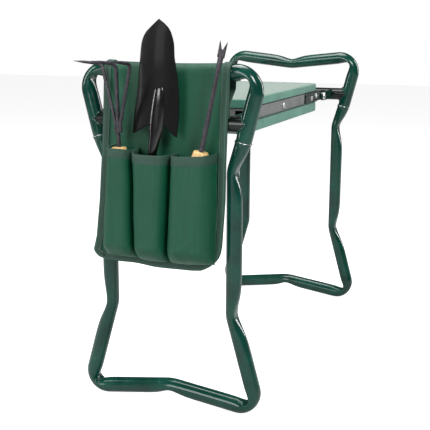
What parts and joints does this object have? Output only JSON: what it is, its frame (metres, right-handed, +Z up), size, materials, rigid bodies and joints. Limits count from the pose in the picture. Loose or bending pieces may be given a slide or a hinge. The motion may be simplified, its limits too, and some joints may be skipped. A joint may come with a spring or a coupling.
{
  "type": "garden kneeler seat",
  "caption": "Folding garden kneeler and seat: a foam-padded steel bench between two bent-tube end frames, with a three-pocket pouch of hand tools hung on one frame.",
  "frame": {"origin": "on the floor, under the middle of the whole object's outline", "axes": "+X along the seat away from the pouch end, +Y across the seat, +Z up from the floor"},
  "size_m": [0.6871, 0.2682, 0.5421],
  "materials": {
    "eva_foam": "matt closed-cell EVA foam",
    "rail_grey_paint": "satin grey powder coat",
    "bracket_green_paint": "gloss dark green powder coat",
    "frame_green_paint": "gloss dark teal-green powder coat",
    "zinc_steel": "zinc plated",
    "nylon": "black nylon",
    "pouch_fabric": "woven polyester with a soft sheen",
    "binding_tape": "woven polyester binding tape",
    "hook_and_loop": "hook-and-loop tape",
    "ash_wood": "clear varnished ash",
    "black_enamel": "black enamel over pressed steel",
    "tool_steel": "dark gunmetal coat over steel rod"
  },
  "bodies": {
    "seat": {"bracket_rivets": "zinc_steel", "cross_brace": "rail_grey_paint", "end_rail_left": "rail_grey_paint", "end_rail_right": "rail_grey_paint", "foam_pad_bottom": "eva_foam", "foam_pad_top": "eva_foam", "hinge_bracket_left_back": "bracket_green_paint", "hinge_bracket_left_front": "bracket_green_paint", "hinge_bracket_right_back": "bracket_green_paint", "hinge_bracket_right_front": "bracket_green_paint", "pivot_pins_left": "zinc_steel", "pivot_pins_right": "zinc_steel", "pivot_washers_left": "nylon", "pivot_washers_right": "nylon", "rail_screws": "zinc_steel", "seat_plate_bottom": "bracket_green_paint", "seat_plate_top": "rail_grey_paint", "side_rail_back": "rail_grey_paint", "side_rail_front": "rail_grey_paint"},
    "pouch_frame": {"cross_tube_left": "frame_green_paint", "handle_tube_left": "frame_green_paint", "hinge_arm_left_back": "frame_green_paint", "hinge_arm_left_front": "frame_green_paint", "hook_strip": "hook_and_loop", "leg_tube_left": "frame_green_paint", "loop_strip": "hook_and_loop", "pocket_bindings": "binding_tape", "pocket_left": "pouch_fabric", "pocket_middle": "pouch_fabric", "pocket_right": "pouch_fabric", "pouch_binding": "binding_tape", "pouch_flap": "pouch_fabric", "pouch_panel": "pouch_fabric"},
    "end_frame": {"cross_tube_right": "frame_green_paint", "handle_tube_right": "frame_green_paint", "hinge_arm_right_back": "frame_green_paint", "hinge_arm_right_front": "frame_green_paint", "leg_tube_right": "frame_green_paint"},
    "cultivator": {"cultivator_handle": "ash_wood", "cultivator_shank": "tool_steel", "cultivator_side_tines": "tool_steel"},
    "trowel": {"trowel_handle": "ash_wood", "trowel_head": "black_enamel"},
    "weeder": {"weeder_handle": "ash_wood", "weeder_shank": "tool_steel"}
  },
  "joints": [
    {"name": "pouch_frame_fold", "type": "hinge", "parent": "seat", "child": "pouch_frame", "pos_m": [-0.1574, 0, 0.4038], "axis": [0, -1, 0], "range_deg": [0, 90]},
    {"name": "end_frame_fold", "type": "hinge", "parent": "seat", "child": "end_frame", "pos_m": [0.2606, 0, 0.4038], "axis": [0, 1, 0], "range_deg": [0, 90]},
    {"name": "cultivator_lift", "type": "slide", "parent": "pouch_frame", "child": "cultivator", "axis": [0, 0.0262, 0.9997], "range_m": [0, 0.16]},
    {"name": "trowel_lift", "type": "slide", "parent": "pouch_frame", "child": "trowel", "axis": [0, -0.0645, 0.9979], "range_m": [0, 0.16]},
    {"name": "weeder_lift", "type": "slide", "parent": "pouch_frame", "child": "weeder", "axis": [0, -0.2113, 0.9774], "range_m": [0, 0.15]}
  ]
}
